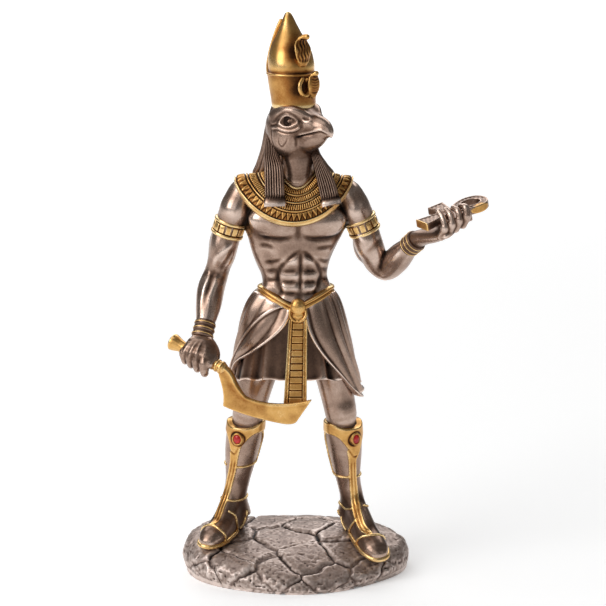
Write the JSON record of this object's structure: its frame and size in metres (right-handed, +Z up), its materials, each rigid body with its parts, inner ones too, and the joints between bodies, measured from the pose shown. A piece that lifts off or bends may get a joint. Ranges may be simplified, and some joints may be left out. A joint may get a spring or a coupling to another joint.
{
  "type": "falcon god statuette",
  "caption": "Bronze-resin statuette of the falcon-headed sky god in a double crown, holding a sickle sword and an ankh, on a flagstone mound.",
  "frame": {"origin": "middle of the flat underside of the stone base", "axes": "+Z up, the god faces -Y, his right side at -X"},
  "size_m": [0.1679, 0.0934, 0.2999],
  "materials": {
    "stone_base": "resin painted as weathered stone, rubbed light on its edges",
    "bronze_resin": "polished bronze powder in resin with a dark wash in the recesses",
    "gilt": "rubbed gold paint over resin",
    "red_stone": "polished red resin cabochon"
  },
  "bodies": {
    "root": {"stone_base": "stone_base", "falcon_figure": "bronze_resin", "khopesh": "gilt", "ankh": "gilt", "right_cabochon": "red_stone", "left_cabochon": "red_stone"}
  },
  "joints": []
}
